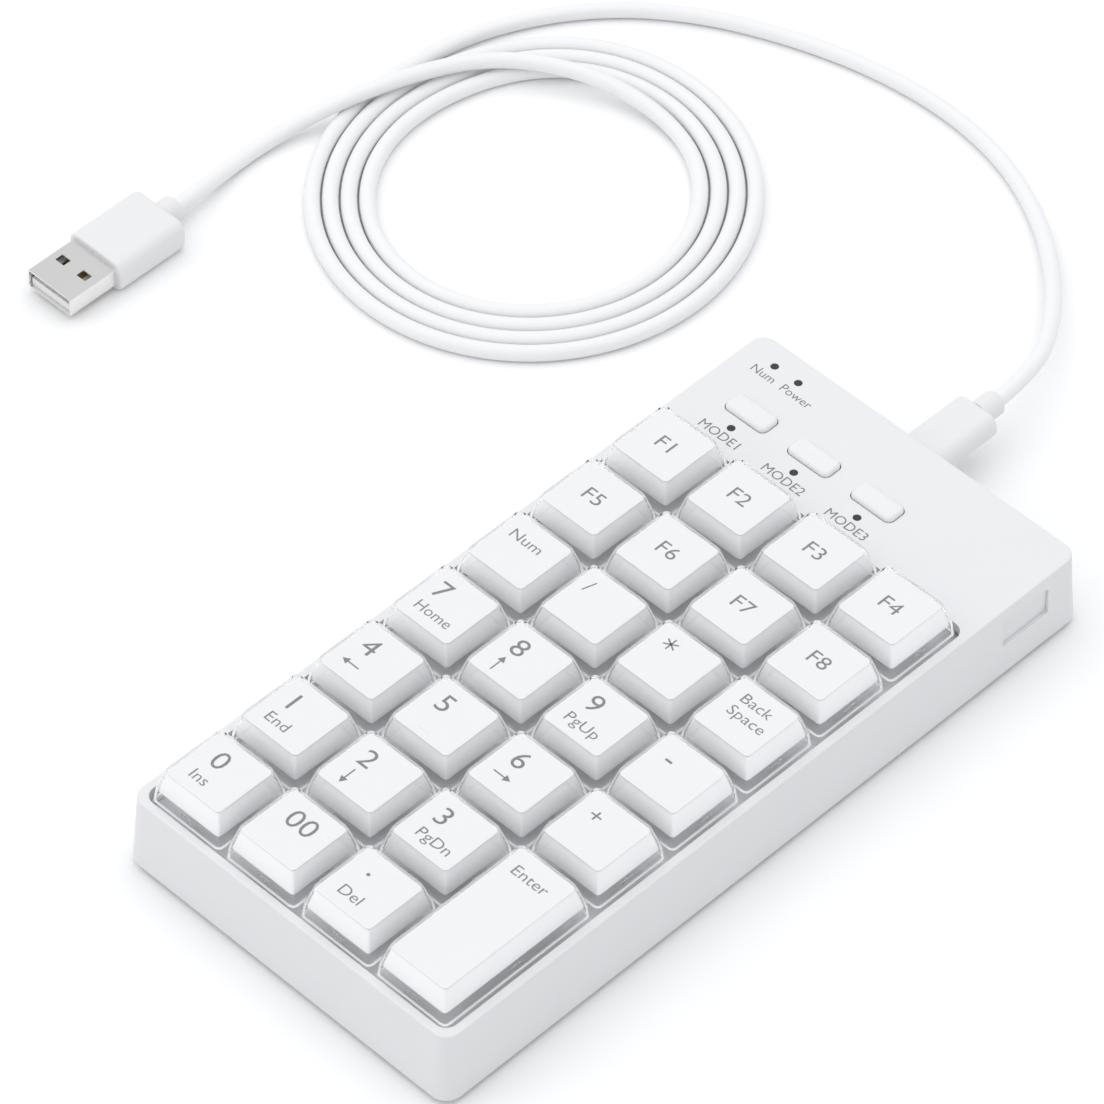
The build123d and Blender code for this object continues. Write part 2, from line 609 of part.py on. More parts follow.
with BuildPart() as cable_coil:
    with BuildSketch():
        with Locations((COIL_X, COIL_Y)):
            Circle(COIL_OUTER_R)
            Circle(COIL_INNER_R, mode=Mode.SUBTRACT)
    extrude(amount=CORD_DIA)
    fillet(cable_coil.edges(), radius=0.45 * CORD_DIA)
save(cable_coil.part, "cable_coil")
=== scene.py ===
import math

import bpy
from mathutils import Matrix, Quaternion, Vector


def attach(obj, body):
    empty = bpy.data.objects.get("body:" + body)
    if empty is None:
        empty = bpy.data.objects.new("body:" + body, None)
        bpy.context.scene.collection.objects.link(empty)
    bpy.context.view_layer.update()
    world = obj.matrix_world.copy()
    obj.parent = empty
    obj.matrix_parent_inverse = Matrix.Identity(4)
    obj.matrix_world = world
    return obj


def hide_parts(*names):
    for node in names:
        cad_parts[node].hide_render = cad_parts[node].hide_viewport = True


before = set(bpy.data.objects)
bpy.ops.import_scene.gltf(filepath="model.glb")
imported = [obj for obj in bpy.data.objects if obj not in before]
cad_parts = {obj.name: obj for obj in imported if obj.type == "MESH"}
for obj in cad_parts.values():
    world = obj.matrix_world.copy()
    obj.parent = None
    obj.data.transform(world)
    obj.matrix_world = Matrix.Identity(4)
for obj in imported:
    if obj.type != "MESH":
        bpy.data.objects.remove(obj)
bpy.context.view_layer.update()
MM = 0.001

# ---------------------------------------------------------------------------
# The desk, the lamps and the camera. A white table top under two soft boxes,
# one wide one overhead and a weaker one from the left, in a pale room.
# ---------------------------------------------------------------------------
bpy.context.scene.view_settings.view_transform = "Standard"
bpy.ops.object.select_all(action="DESELECT")

CAMERA_PLACE = Vector((0.63268, -0.67088, 1.04979))
CAMERA_AIM = Vector((-0.03334, 0.01850, 0.0100))
CAMERA_ROLL = math.radians(0.86)

camera_data = bpy.data.cameras.new("camera")
camera_data.lens = 248.87
camera_data.sensor_width = 36.0
camera = bpy.data.objects.new("camera", camera_data)
camera.location = CAMERA_PLACE
camera.rotation_mode = "QUATERNION"
camera.rotation_quaternion = (CAMERA_AIM - CAMERA_PLACE).to_track_quat("-Z", "Y") @ Quaternion(
    (0, 0, 1), CAMERA_ROLL
)
bpy.context.scene.collection.objects.link(camera)
bpy.context.scene.camera = camera

world = bpy.data.worlds.new("room")
world.use_nodes = True
world.node_tree.nodes["Background"].inputs["Color"].default_value = (0.97, 0.98, 1.0, 1.0)
world.node_tree.nodes["Background"].inputs["Strength"].default_value = 0.76
bpy.context.scene.world = world


def soft_box(name, place, width, power):
    """A square lamp that faces the keypad."""
    lamp = bpy.data.lights.new(name, "AREA")
    lamp.size = width
    lamp.energy = power
    holder = bpy.data.objects.new(name, lamp)
    holder.location = place
    holder.rotation_euler = (-Vector(place)).to_track_quat("-Z", "Y").to_euler()
    holder.visible_glossy = False
    holder.visible_transmission = False
    bpy.context.scene.collection.objects.link(holder)


soft_box("overhead_box", (-0.25, 0.2, 2.3), 3.2, 31)
soft_box("left_box", (-1.2, -1.5, 1.3), 1.4, 6)

bpy.ops.mesh.primitive_plane_add(size=8, location=(0, 0, 0))
desk = bpy.context.object
desk.name = "desk"


def socket(group, name, kind, way, value=None):
    made = group.interface.new_socket(name, in_out=way, socket_type=kind)
    if value is not None:
        made.default_value = value


def moulded_surface_group():
    """Fine spark texture, slow drift of tone and roughness, as on any moulded plastic or rubber."""
    group = bpy.data.node_groups.new("moulded surface", "ShaderNodeTree")
    socket(group, "Color", "NodeSocketColor", "INPUT", (0.8, 0.8, 0.8, 1.0))
    socket(group, "Drift", "NodeSocketFloat", "INPUT", 0.03)
    socket(group, "Grains per metre", "NodeSocketFloat", "INPUT", 4000.0)
    socket(group, "Roughness", "NodeSocketFloat", "INPUT", 0.5)
    socket(group, "Spread", "NodeSocketFloat", "INPUT", 0.08)
    socket(group, "Color", "NodeSocketColor", "OUTPUT")
    socket(group, "Roughness", "NodeSocketFloat", "OUTPUT")
    socket(group, "Height", "NodeSocketFloat", "OUTPUT")
    nodes, links = group.nodes, group.links
    given = nodes.new("NodeGroupInput")
    result = nodes.new("NodeGroupOutput")
    place = nodes.new("ShaderNodeTexCoord")

    grain = nodes.new("ShaderNodeTexNoise")
    grain.inputs["Detail"].default_value = 2.0
    links.new(place.outputs["Object"], grain.inputs["Vector"])
    links.new(given.outputs["Grains per metre"], grain.inputs["Scale"])
    links.new(grain.outputs["Fac"], result.inputs["Height"])

    slow = nodes.new("ShaderNodeTexNoise")
    slow.inputs["Scale"].default_value = 45.0
    slow.inputs["Detail"].default_value = 3.0
    links.new(place.outputs["Object"], slow.inputs["Vector"])
    darker = nodes.new("ShaderNodeMath")
    darker.operation = "MULTIPLY"
    links.new(slow.outputs["Fac"], darker.inputs[0])
    links.new(given.outputs["Drift"], darker.inputs[1])
    keep = nodes.new("ShaderNodeMath")
    keep.operation = "SUBTRACT"
    keep.inputs[0].default_value = 1.0
    links.new(darker.outputs["Value"], keep.inputs[1])
    tone = nodes.new("ShaderNodeVectorMath")
    tone.operation = "SCALE"
    links.new(given.outputs["Color"], tone.inputs[0])
    links.new(keep.outputs["Value"], tone.inputs["Scale"])
    links.new(tone.outputs["Vector"], result.inputs["Color"])

    swing = nodes.new("ShaderNodeMath")
    swing.operation = "MULTIPLY_ADD"
    links.new(slow.outputs["Fac"], swing.inputs[0])
    links.new(given.outputs["Spread"], swing.inputs[1])
    links.new(given.outputs["Roughness"], swing.inputs[2])
    links.new(swing.outputs["Value"], result.inputs["Roughness"])
    return group


MOULDED = moulded_surface_group()


def moulded(name, color, roughness=0.45, grains=4000.0, grain_depth=0.02, drift=0.03, metallic=0.0):
    """A material of moulded plastic, rubber, paper or plated metal with its own grain."""
    material = bpy.data.materials.new(name)
    material.use_nodes = True
    nodes, links = material.node_tree.nodes, material.node_tree.links
    shader = nodes["Principled BSDF"]
    surface = nodes.new("ShaderNodeGroup")
    surface.node_tree = MOULDED
    surface.inputs["Color"].default_value = (*color, 1.0)
    surface.inputs["Drift"].default_value = drift
    surface.inputs["Grains per metre"].default_value = grains
    surface.inputs["Roughness"].default_value = roughness
    bump = nodes.new("ShaderNodeBump")
    bump.inputs["Strength"].default_value = 0.5
    bump.inputs["Distance"].default_value = grain_depth * MM
    links.new(surface.outputs["Color"], shader.inputs["Base Color"])
    links.new(surface.outputs["Roughness"], shader.inputs["Roughness"])
    links.new(surface.outputs["Height"], bump.inputs["Height"])
    links.new(bump.outputs["Normal"], shader.inputs["Normal"])
    shader.inputs["Metallic"].default_value = metallic
    return material


desk.data.materials.append(moulded("white desk", (0.93, 0.93, 0.93), 0.9, 900.0, 0.01))


def dress(node, material):
    """Gives a CAD node its finish."""
    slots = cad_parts[node].data.materials
    slots.clear()
    slots.append(material)


# ---------------------------------------------------------------------------
# The lead. Soft white round cable, 3.3 mm thick, moulded into a plug at each
# end. It leaves the rear wall, makes nearly four flat turns on the desk and
# climbs back over them to its large plug.
# ---------------------------------------------------------------------------
CORD_DIAMETER = 3.3 * MM
CORD_REST = CORD_DIAMETER / 2

# millimetres, from the small plug's relief down to the desk and round to the coil
FROM_KEYPAD = [
    (-1.8, 105.9, 9.4),
    (-2.2, 118.2, 9.5),
    (-9.5, 130.6, 7.2),
    (-19.2, 142.2, 3.6),
    (-32.7, 153.6, 1.65),
    (-49.0, 161.2, 1.65),
    (-67.0, 164.0, 1.65),
    (-86.0, 162.2, 1.65),
    (-104.0, 156.8, 1.65),
    (-120.5, 148.9, 1.65),
    (-134.0, 138.0, 1.65),
    (-143.6, 124.5, 1.65),
    (-149.5, 109.5, 1.65),
]
# and from the innermost turn, up over the coil, to the large plug's relief
TO_PLUG = [
    (-96.5, 120.4, 1.65),
    (-105.2, 122.0, 2.4),
    (-114.2, 120.9, 3.8),
    (-123.5, 117.4, 5.2),
    (-132.3, 112.6, 5.3),
    (-139.3, 106.0, 5.3),
    (-144.3, 97.2, 5.3),
    (-148.0, 87.0, 5.3),
    (-151.3, 76.5, 4.7),
    (-154.5, 66.2, 2.3),
    (-155.3, 57.5, 1.65),
    (-154.6, 49.8, 2.2),
    (-153.1, 42.5, 3.7),
    (-153.1, 35.4, 3.7),
]
COIL_MIDDLE = (-108.0, 89.2)
OUTER_TURN = 43.35
TURN_PITCH = 3.63
POINT_STEP = 15
COIL_START, COIL_SWEEP = 175, 3 * 360 + 250
SHIFT_FROM, SHIFT_OVER = 290, 70
OUT_OF_ROUND = 0.675


def coil_points():
    """Flat turns side by side. Each moves in by one cable over the last part of its round."""
    points = []
    for swept in range(0, COIL_SWEEP + 1, POINT_STEP):
        angle = math.radians(COIL_START + swept)
        turn, phase = divmod(swept, 360)
        share = min(max((phase - SHIFT_FROM) / SHIFT_OVER, 0), 1)
        shift = turn + share * share * (3 - 2 * share)
        radius = OUTER_TURN - TURN_PITCH * shift - OUT_OF_ROUND * math.cos(2 * angle)
        radius /= math.cos(math.radians(POINT_STEP / 2))
        x = COIL_MIDDLE[0] + radius * math.cos(angle)
        y = COIL_MIDDLE[1] + radius * math.sin(angle)
        points.append((x, y, CORD_REST / MM))
    return points


lead_points = FROM_KEYPAD + coil_points() + TO_PLUG
lead_curve = bpy.data.curves.new("lead", "CURVE")
lead_curve.dimensions = "3D"
line = lead_curve.splines.new("NURBS")
line.points.add(len(lead_points) - 1)
for point, (x, y, z) in zip(line.points, lead_points):
    point.co = (x * MM, y * MM, z * MM, 1.0)
line.order_u = 3
line.use_endpoint_u = True
line.resolution_u = 8
lead_curve.bevel_depth = CORD_DIAMETER / 2
lead_curve.bevel_resolution = 6
lead_curve.use_fill_caps = True
lead = bpy.data.objects.new("lead", lead_curve)
bpy.context.scene.collection.objects.link(lead)
jacket = moulded("white cable jacket", (0.85, 0.85, 0.855), 0.42, 2600.0, 0.015)
lead_curve.materials.append(jacket)
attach(lead, "housing")
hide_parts("cable_to_keypad", "cable_coil", "cable_to_plug")

# ---------------------------------------------------------------------------
# Both plugs. White moulded grips with a short round relief, folded nickel
# plated shells, a white tongue with four gilt contacts in the large one.
# ---------------------------------------------------------------------------
grip_plastic = moulded("white grip plastic", (0.77, 0.77, 0.775), 0.38, 3000.0, 0.012)
plated_shell = moulded("nickel plated shell", (0.90, 0.89, 0.88), 0.3, 5000.0, 0.004, 0.06, 1.0)
gilt = moulded("gilt contact", (0.85, 0.62, 0.28), 0.25, 5000.0, 0.002, 0.05, 1.0)
for node in ("device_plug_body", "device_plug_relief", "usb_plug_body", "usb_plug_relief"):
    dress(node, grip_plastic)
for node in ("usb_plug_shell", "device_plug_tip", "socket_shell"):
    dress(node, plated_shell)
dress("usb_plug_tongue", moulded("white tongue", (0.82, 0.82, 0.82), 0.5, 3000.0, 0.01))
dress("usb_plug_contacts", gilt)

# ---------------------------------------------------------------------------
# Inside the housing, from the desk up: rubber feet, bottom cover, board with
# its parts, rubber dome sheet, guide plate and the screws that hold them.
# ---------------------------------------------------------------------------
housing_plastic = moulded("white housing plastic", (0.76, 0.765, 0.775), 0.5, 5200.0, 0.03)
black_epoxy = moulded("black epoxy", (0.03, 0.03, 0.033), 0.45, 3000.0, 0.02)
zinc = moulded("zinc plate", (0.55, 0.56, 0.58), 0.35, 2500.0, 0.01, 0.1, 1.0)
dress("bottom_cover", housing_plastic)
dress("rubber_feet", moulded("grey rubber", (0.22, 0.22, 0.23), 0.8, 1500.0, 0.05))
dress("circuit_board", moulded("green board", (0.03, 0.2, 0.09), 0.35, 700.0, 0.02, 0.1))
dress("rubber_dome_sheet", moulded("silicone rubber", (0.62, 0.64, 0.67), 0.6, 2000.0, 0.03))
dress("key_guide_plate", moulded("guide plate plastic", (0.86, 0.87, 0.88), 0.55, 3000.0, 0.03))
for node in ("controller_chip", "board_components", "mode_switches", "socket_tongue"):
    dress(node, black_epoxy)
for node in ("housing_screws", "board_screws", "plate_screws"):
    dress(node, zinc)
dress("status_leds", moulded("lamp body", (0.75, 0.72, 0.55), 0.4, 2000.0, 0.01))

# ---------------------------------------------------------------------------
# The top shell with its lamp guides and the plate in its right-hand wall.
# White plastic with a fine spark texture, and dark tinted guides pushed in
# from below.
# ---------------------------------------------------------------------------
dress("top_shell", housing_plastic)
dress("side_blanking_plate", housing_plastic)
dress("led_light_guides", moulded("dark lamp tint", (0.035, 0.035, 0.04), 0.3, 2500.0, 0.01))

DECK_Z = 17.6 * MM
INK_THICKNESS = 0.02 * MM
ink = moulded("grey ink", (0.20, 0.20, 0.21), 0.6, 8000.0, 0.004, 0.1)


def only(piece):
    """Makes a piece the one that is selected and active."""
    bpy.ops.object.select_all(action="DESELECT")
    piece.select_set(True)
    bpy.context.view_layer.objects.active = piece


def joined(pieces, name):
    """Joins pieces into the first and names it."""
    only(pieces[0])
    for piece in pieces[1:]:
        piece.select_set(True)
    if len(pieces) > 1:
        bpy.ops.object.join()
    pieces[0].name = name
    return pieces[0]


CAP_SHARE = 0.682
THINNED = 0.015 * MM


def inked(piece):
    """Gives a print its ink."""
    piece.data.materials.clear()
    piece.data.materials.append(ink)
    return piece


def words(text, cap_height, left, baseline, top, centred=False, wide=1.0):
    """Flat printed words in millimetres, from the left edge or about a middle, with the ink's top at a height."""
    bpy.ops.object.select_all(action="DESELECT")
    bpy.ops.object.text_add(location=(0, 0, 0))
    piece = bpy.context.object
    piece.data.body = text
    piece.data.size = cap_height * MM / CAP_SHARE
    piece.data.offset = -THINNED
    piece.data.extrude = INK_THICKNESS / 2
    piece.data.resolution_u = 3
    bpy.ops.object.convert(target="MESH")
    piece = bpy.context.object
    piece.data.transform(Matrix.Diagonal((wide, 1.0, 1.0, 1.0)))
    spots = [v.co.x for v in piece.data.vertices]
    low = (min(spots) + max(spots)) / 2 if centred else min(spots)
    piece.data.transform(Matrix.Translation((left * MM - low, baseline * MM, top - INK_THICKNESS / 2)))
    bpy.ops.object.mode_set(mode="EDIT")
    bpy.ops.mesh.select_all(action="SELECT")
    bpy.ops.mesh.remove_doubles(threshold=1e-7)
    bpy.ops.object.mode_set(mode="OBJECT")
    return inked(piece)


DECK_WORDS = [
    ("Num", 1.95, -35.2, 73.2),
    ("Power", 1.95, -27.7, 73.2),
    ("MODE1", 2.1, -32.2, 55.9),
    ("MODE2", 2.1, -16.0, 55.9),
    ("MODE3", 2.1, 0.1, 55.9),
]
for text, cap_height, left, baseline in DECK_WORDS:
    mark = words(text, cap_height, left, baseline, DECK_Z + INK_THICKNESS)
    mark.name = "print_" + text
    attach(mark, "housing")

# ---------------------------------------------------------------------------
# Three mode buttons. White plastic with soft crowned tops, each on a stalk
# over its own switch, held from below by a flange.
# ---------------------------------------------------------------------------
button_plastic = moulded("white button plastic", (0.79, 0.795, 0.80), 0.42, 4500.0, 0.015)
for number in (1, 2, 3):
    dress("mode_button_%d" % number, button_plastic)

# ---------------------------------------------------------------------------
# The keys. Each is a moulded white cap on a square stem, a white paper label on
# its top, and a clear moulded cover clipped over both. Enter is two units high.
# ---------------------------------------------------------------------------
PITCH = 19.0
GRID_Y = -13.83
KEY_ROWS = [
    ["f1", "f2", "f3", "f4"],
    ["f5", "f6", "f7", "f8"],
    ["num_lock", "divide", "multiply", "backspace"],
    ["7", "8", "9", "minus"],
    ["4", "5", "6", "plus"],
    ["1", "2", "3", "enter"],
    ["0", "00", "decimal"],
]
CAP_WALLS = [(19.3, 7.8), (19.9, 7.74), (23.85, 6.68)]
CAP_HOLLOW = [(19.3, 6.85), (19.9, 6.75), (22.7, 6.0)]
COVER_WALLS = [(17.0, 8.8), (19.9, 8.45), (24.75, 7.02), (25.0, 6.8)]
COVER_HOLLOW = [(17.0, 8.2), (19.9, 7.88), (24.1, 6.84)]
LABEL_WALLS = [(23.87, 6.74), (24.05, 6.74)]
STEM_FOOT, STEM_TOP, STEM_SIDE = 11.6, 23.0, 5.0
LEVEL_SLACK = 0.01
POST_FOOT, POST_SIDE, POST_SPREAD = 13.0, 3.4, 9.5
CATCH_OUT, CATCH_DEEP, CATCH_WIDE, CATCH_Z, CATCH_TALL = 7.88, 0.3, 3.0, 17.8, 0.8
HOME_BAR, HOME_BAR_Y, HOME_BAR_Z = (3.2, 0.4, 0.2), -5.8, 25.105

key_white = moulded("white key plastic", (0.95, 0.955, 0.96), 0.4, 4000.0, 0.01)
label_paper = moulded("label paper", (0.83, 0.83, 0.835), 0.7, 6000.0, 0.006, 0.015)
# painted shade: a grey finish for the label's side faces, standing for the thin shadow line under its edge
painted_edge_shade = moulded("label edge painted shade", (0.62, 0.62, 0.63), 0.8, 6000.0, 0.004)
# painted highlight: opaque white for the cover skirt's bottom faces, standing for the bright edge line of the
# clear plastic
painted_rim_highlight = moulded("skirt rim painted highlight", (0.93, 0.935, 0.94), 0.45, 5000.0, 0.01)


def clear_plastic_material():
    """Clear plastic that lets lamp light and the light of its surroundings through to the label and cap."""
    material = bpy.data.materials.new("clear cover plastic")
    material.use_nodes = True
    nodes, links = material.node_tree.nodes, material.node_tree.links
    shader = nodes["Principled BSDF"]
    shader.inputs["Base Color"].default_value = (0.98, 0.985, 0.99, 1.0)
    shader.inputs["Roughness"].default_value = 0.02
    shader.inputs["IOR"].default_value = 1.1
    shader.inputs["Transmission Weight"].default_value = 1.0
    shader.inputs["Coat Weight"].default_value = 1.0
    shader.inputs["Coat Roughness"].default_value = 0.05
    path = nodes.new("ShaderNodeLightPath")
    through = nodes.new("ShaderNodeBsdfTransparent")
    shown = shader.outputs["BSDF"]
    for ray in ("Is Diffuse Ray", "Is Shadow Ray"):
        mix = nodes.new("ShaderNodeMixShader")
        links.new(path.outputs[ray], mix.inputs["Fac"])
        links.new(shown, mix.inputs[1])
        links.new(through.outputs["BSDF"], mix.inputs[2])
        shown = mix.outputs["Shader"]
    links.new(shown, nodes["Material Output"].inputs["Surface"])
    return material


clear_plastic = clear_plastic_material()


def select_level(piece, height, kind="FACE"):
    """Selects what lies flat at one height, in millimetres."""
    bpy.ops.object.mode_set(mode="OBJECT")
    for part in (piece.data.vertices, piece.data.edges, piece.data.polygons):
        for item in part:
            item.select = False
    spots = [v.co.z for v in piece.data.vertices]
    group = piece.data.polygons if kind == "FACE" else piece.data.edges
    for item in group:
        item.select = all(abs(spots[i] - height * MM) < 1e-6 for i in item.vertices)
    bpy.ops.object.mode_set(mode="EDIT")
    bpy.ops.mesh.select_mode(type=kind)


def raise_walls(x, y, levels, long):
    """Extrudes the selected face through levels of (height, half width), narrowing it on the way."""
    for (z0, half0), (z1, half1) in zip(levels, levels[1:]):
        bpy.ops.mesh.extrude_region_move(TRANSFORM_OT_translate={"value": (0, 0, (z1 - z0) * MM)})
        bpy.ops.transform.resize(
            value=(half1 / half0, (half1 + long) / (half0 + long), 1),
            center_override=(x * MM, y * MM, z1 * MM),
        )


def rounded_start(x, y, level, corner, long):
    """A flat face with round corners, the foot of a block."""
    z, half = level
    bpy.ops.object.select_all(action="DESELECT")
    bpy.ops.mesh.primitive_plane_add(size=2 * half * MM, location=(x * MM, y * MM, z * MM))
    piece = bpy.context.object
    bpy.ops.object.mode_set(mode="EDIT")
    bpy.ops.transform.resize(
        value=(1, (half + long) / half, 1), center_override=(x * MM, y * MM, z * MM)
    )
    bpy.ops.mesh.bevel(offset=corner * MM, segments=5, affect="VERTICES")
    return piece


def finish_block(piece, name, material, angle=35):
    """Outward normals, smooth rounds, origin at the frame's origin, and the finish."""
    bpy.ops.object.mode_set(mode="EDIT")
    bpy.ops.mesh.select_all(action="SELECT")
    bpy.ops.mesh.remove_doubles(threshold=1e-7)
    bpy.ops.mesh.normals_make_consistent(inside=False)
    bpy.ops.object.mode_set(mode="OBJECT")
    only(piece)
    bpy.ops.object.transform_apply(location=True, rotation=True, scale=True)
    bpy.ops.object.shade_smooth_by_angle(angle=math.radians(angle))
    piece.name = name
    piece.data.materials.clear()
    piece.data.materials.append(material)
    return piece


def solid_block(x, y, levels, corner, long, name, material, edge=0.15):
    piece = rounded_start(x, y, levels[0], corner, long)
    raise_walls(x, y, levels, long)
    bpy.ops.object.mode_set(mode="OBJECT")
    only(piece)
    bpy.ops.object.transform_apply(location=True, rotation=True, scale=True)
    if edge:
        select_level(piece, levels[-1][0], "EDGE")
        bpy.ops.mesh.bevel(offset=edge * MM, segments=3, affect="EDGES")
    return finish_block(piece, name, material)


def hollow_block(x, y, walls, hollow, corner, long, name, material, edge=0.15):
    """A block that is open below: walls up outside, then up again inside."""
    piece = rounded_start(x, y, walls[0], corner, long)
    raise_walls(x, y, walls, long)
    bpy.ops.object.mode_set(mode="OBJECT")
    only(piece)
    bpy.ops.object.transform_apply(location=True, rotation=True, scale=True)
    if edge:
        select_level(piece, walls[-1][0], "EDGE")
        bpy.ops.mesh.bevel(offset=edge * MM, segments=3, affect="EDGES")
    select_level(piece, walls[0][0])
    bpy.ops.mesh.inset(thickness=(walls[0][1] - hollow[0][1]) * MM)
    raise_walls(x, y, hollow, long)
    return finish_block(piece, name, material)


def key_cap(x, y, long, name):
    """The white cap with its stem, and Enter's two outer posts."""
    skin = hollow_block(x, y, CAP_WALLS, CAP_HOLLOW, 0.6, long, name, key_white, 0.2)
    stem = solid_block(
        x, y, [(STEM_FOOT, STEM_SIDE / 2), (STEM_TOP, STEM_SIDE / 2)], 0.5, 0, "stem", key_white, 0
    )
    parts = [skin, stem]
    if long:
        post = [(POST_FOOT, POST_SIDE / 2), (STEM_TOP, POST_SIDE / 2)]
        for side in (-POST_SPREAD, POST_SPREAD):
            parts.append(solid_block(x, y + side, post, 0.4, 0, "post", key_white, 0))
    return joined(parts, name)


def key_label(x, y, long, name):
    """The paper label. Its side faces are painted grey, a painted shadow line under the label's edge."""
    piece = solid_block(x, y, LABEL_WALLS, 0.85, long, name, label_paper, 0.0)
    piece.data.materials.append(painted_edge_shade)
    # the side faces take the painted shade
    for face in piece.data.polygons:
        if abs(face.normal.z) < 0.5:
            face.material_index = 1
    return piece


def key_cover(x, y, long, name):
    """The clear cover: its skirt's bottom faces opaque white, a painted highlight for the bright edge of the
    clear plastic, and a catch in the middle of each side.
    """
    skin = hollow_block(x, y, COVER_WALLS, COVER_HOLLOW, 1.2, long, name, clear_plastic, 0.12)
    skin.data.materials.append(painted_rim_highlight)
    # the faces at the skirt's foot take the painted highlight
    for face in skin.data.polygons:
        if all(skin.data.vertices[i].co.z < (COVER_WALLS[0][0] + LEVEL_SLACK) * MM for i in face.vertices):
            face.material_index = 1
    parts = [skin]
    for side in (-1, 1):
        for spot, size in (
            ((x + side * CATCH_OUT, y), (CATCH_DEEP, CATCH_WIDE)),
            ((x, y + side * (CATCH_OUT + long)), (CATCH_WIDE, CATCH_DEEP)),
        ):
            bpy.ops.object.select_all(action="DESELECT")
            bpy.ops.mesh.primitive_cube_add(
                size=1,
                location=(spot[0] * MM, spot[1] * MM, CATCH_Z * MM),
                scale=(size[0] * MM, size[1] * MM, CATCH_TALL * MM),
            )
            catch = bpy.context.object
            bpy.ops.object.mode_set(mode="EDIT")
            parts.append(finish_block(catch, "catch", clear_plastic))
    return joined(parts, name)


def copied(master, name, dx, dy):
    """A copy with its own mesh, moved in millimetres."""
    piece = master.copy()
    piece.data = master.data.copy()
    piece.data.transform(Matrix.Translation((dx * MM, dy * MM, 0)))
    piece.name = name
    bpy.context.scene.collection.objects.link(piece)
    return piece


def key_set(x, y, long, name):
    return {
        "cap": key_cap(x, y, long, "cap_" + name),
        "label": key_label(x, y, long, "label_" + name),
        "cover": key_cover(x, y, long, "cover_" + name),
    }


FIRST_X, FIRST_Y = -1.5 * PITCH, GRID_Y + 3 * PITCH
first_set = key_set(FIRST_X, FIRST_Y, 0, "f1")
for row, names in enumerate(KEY_ROWS):
    for column, name in enumerate(names):
        x = (column - 1.5) * PITCH
        y = GRID_Y + (3 - row) * PITCH
        if name == "f1":
            pieces = first_set
        elif name == "enter":
            pieces = key_set(x, y - PITCH / 2, PITCH / 2, name)
        else:
            pieces = {
                part: copied(master, part + "_" + name, x - FIRST_X, y - FIRST_Y)
                for part, master in first_set.items()
            }
        if name == "5":
            # the raised bar that a finger finds without looking
            bpy.ops.object.select_all(action="DESELECT")
            bpy.ops.mesh.primitive_cube_add(
                size=1,
                location=(x * MM, (y + HOME_BAR_Y) * MM, HOME_BAR_Z * MM),
                scale=tuple(side * MM for side in HOME_BAR),
            )
            home_bar = bpy.context.object
            bpy.ops.object.mode_set(mode="EDIT")
            home_bar = finish_block(home_bar, "home_bar", clear_plastic)
            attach(home_bar, "5_key")
        for part, piece in pieces.items():
            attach(piece, name + "_key")
        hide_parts("key_" + name)

# ---------------------------------------------------------------------------
# The legends, printed in grey on the paper labels: digits over words or
# arrows, single signs, and the names of the function keys in the middle.
# ---------------------------------------------------------------------------
DIGIT, WORD, FUNCTION = 4.1, 2.35, 3.1
WORD_LINE, FUNCTION_LINE = -4.4, -1.3
LABEL_TOP = LABEL_WALLS[-1][0] * MM
# each line of a legend: its text, height of a capital, left edge and baseline from the key's middle
LEGENDS = {
    "num_lock": [("Num", WORD, -4.4, 1.3)],
    "divide": [("/", 3.0, -4.6, 1.2)],
    "multiply": [],
    "backspace": [("Back", WORD, -3.6, 2.0), ("Space", WORD, -3.6, -1.6)],
    "7": [("7", DIGIT, -4.4, 0.0), ("Home", WORD, -4.24, WORD_LINE)],
    "8": [("8", DIGIT, -3.6, 0.0)],
    "9": [("9", DIGIT, -3.6, 0.0), ("PgUp", WORD, -4.0, WORD_LINE)],
    "minus": [("-", 4.0, -3.2, 0.3)],
    "4": [("4", DIGIT, -3.9, 0.0)],
    "5": [("5", DIGIT, -3.5, 0.0)],
    "6": [("6", DIGIT, -3.5, 0.0)],
    "plus": [("+", 3.2, -3.7, 0.6)],
    "1": [("1", DIGIT, -3.0, 0.0), ("End", WORD, -3.9, WORD_LINE)],
    "2": [("2", DIGIT, -3.9, 0.0)],
    "3": [("3", DIGIT, -3.6, 0.0), ("PgDn", WORD, -3.4, WORD_LINE)],
    "enter": [("Enter", WORD, -4.2, 10.7)],
    "0": [("0", DIGIT, -3.2, 0.0), ("Ins", WORD, -3.5, WORD_LINE)],
    "00": [("00", DIGIT, -3.0, 0.0)],
    "decimal": [(".", 4.3, -2.7, 1.8), ("Del", WORD, -3.6, WORD_LINE)],
}
# middle of each arrow and its quarter turns from straight up
ARROWS = {"8": (-2.5, -3.3, 0), "4": (-2.2, -3.2, 1), "2": (-2.45, -3.4, 2), "6": (-2.0, -2.9, 3)}
ARROW_LENGTH, ARROW_HEAD, ARROW_SHAFT = 4.1, 0.95, 0.3
STAR_SPOT, STAR_ARM, STAR_STROKE = (-2.6, 3.0), 3.0, 0.32
# spread of a legend's letters over the plain typeface
WIDENED, PLAIN = 1.1, 1.0


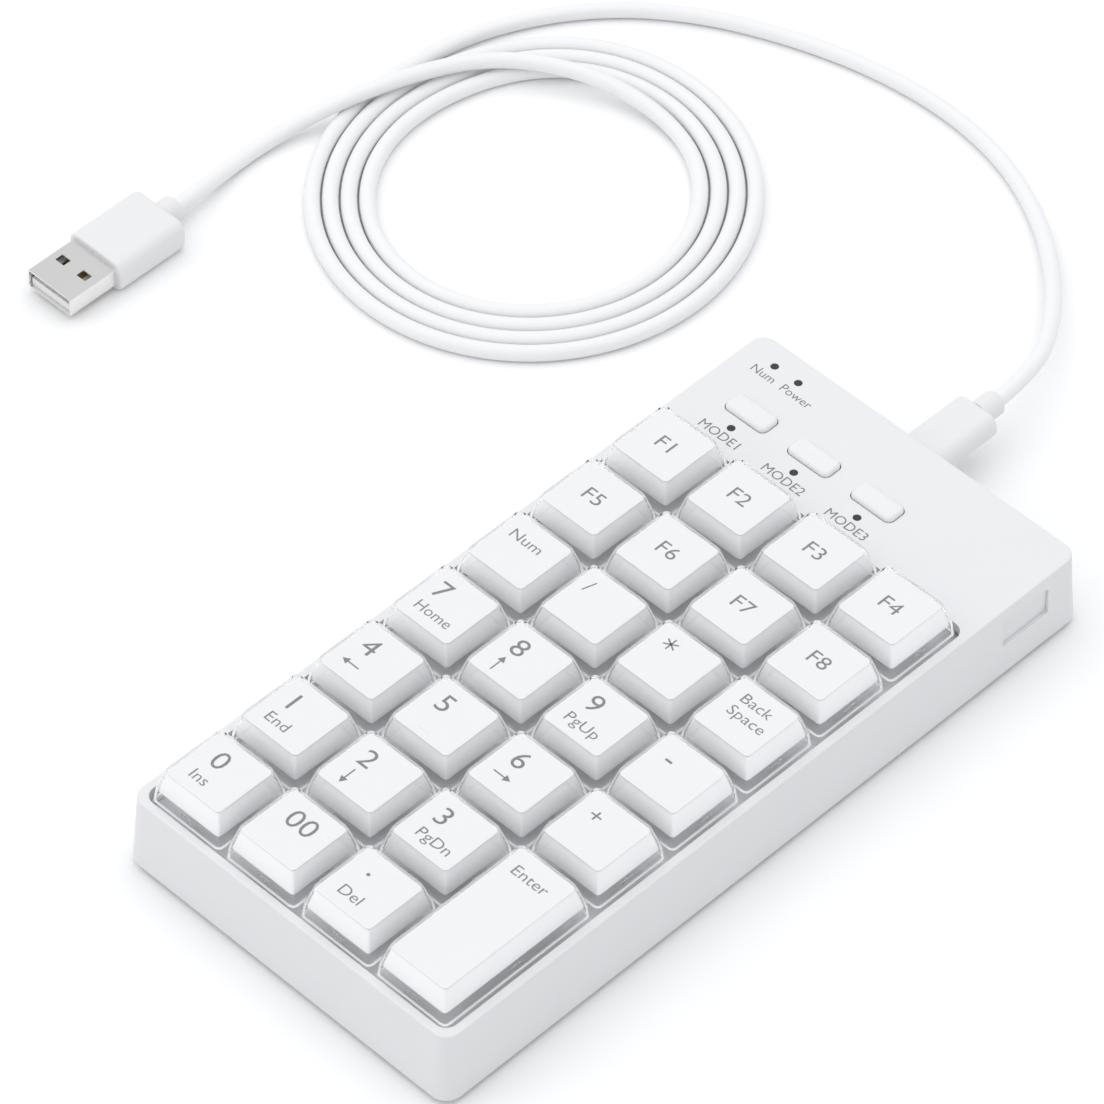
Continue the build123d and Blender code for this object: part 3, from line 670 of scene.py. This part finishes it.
def stroke(x, y, wide, tall, top, turn=0.0):
    """A printed bar in millimetres, turned by so many degrees."""
    bpy.ops.object.select_all(action="DESELECT")
    bpy.ops.mesh.primitive_cube_add(
        size=1,
        location=(x * MM, y * MM, top - INK_THICKNESS / 2),
        rotation=(0, 0, math.radians(turn)),
        scale=(wide * MM, tall * MM, INK_THICKNESS),
    )
    piece = bpy.context.object
    bpy.ops.object.transform_apply(location=True, rotation=True, scale=True)
    return inked(piece)


def arrow(x, y, length, turn, top):
    """A printed arrow: thin shaft and filled head, turned in quarter turns from straight up."""
    along = Vector((-math.sin(turn * math.pi / 2), math.cos(turn * math.pi / 2)))
    tip = Vector((x, y)) + along * (length / 2 - ARROW_HEAD)
    tail = Vector((x, y)) - along * ARROW_HEAD * 0.75
    reach = length - 1.5 * ARROW_HEAD
    if turn % 2 == 0:
        shaft = stroke(tail.x, tail.y, ARROW_SHAFT, reach, top)
    else:
        shaft = stroke(tail.x, tail.y, reach, ARROW_SHAFT, top)
    bpy.ops.object.select_all(action="DESELECT")
    bpy.ops.mesh.primitive_cylinder_add(
        vertices=3,
        radius=ARROW_HEAD * MM,
        depth=INK_THICKNESS,
        location=(tip.x * MM, tip.y * MM, top - INK_THICKNESS / 2),
        rotation=(0, 0, turn * math.pi / 2),
    )
    head = bpy.context.object
    bpy.ops.object.transform_apply(location=True, rotation=True, scale=True)
    return joined([inked(head), shaft], "arrow")


for row, names in enumerate(KEY_ROWS):
    for column, name in enumerate(names):
        x = (column - 1.5) * PITCH
        y = GRID_Y + (3 - row) * PITCH
        if name == "enter":
            y -= PITCH / 2
        lines = LEGENDS.get(name, [(name.upper(), FUNCTION, 0.0, FUNCTION_LINE)])
        prints = [
            words(
                text,
                height,
                x + left,
                y + baseline,
                LABEL_TOP + INK_THICKNESS,
                name not in LEGENDS,
                PLAIN if text == "Home" else WIDENED,
            )
            for text, height, left, baseline in lines
        ]
        if name == "multiply":
            star_x, star_y = x + STAR_SPOT[0], y + STAR_SPOT[1]
            prints = [
                stroke(star_x, star_y, STAR_STROKE, STAR_ARM, LABEL_TOP + INK_THICKNESS, turn)
                for turn in (0, 60, 120)
            ]
        if name in ARROWS:
            aside, below, turn = ARROWS[name]
            prints.append(arrow(x + aside, y + below, ARROW_LENGTH, turn, LABEL_TOP + INK_THICKNESS))
        legend = joined(prints, "print_" + name)
        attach(legend, name + "_key")
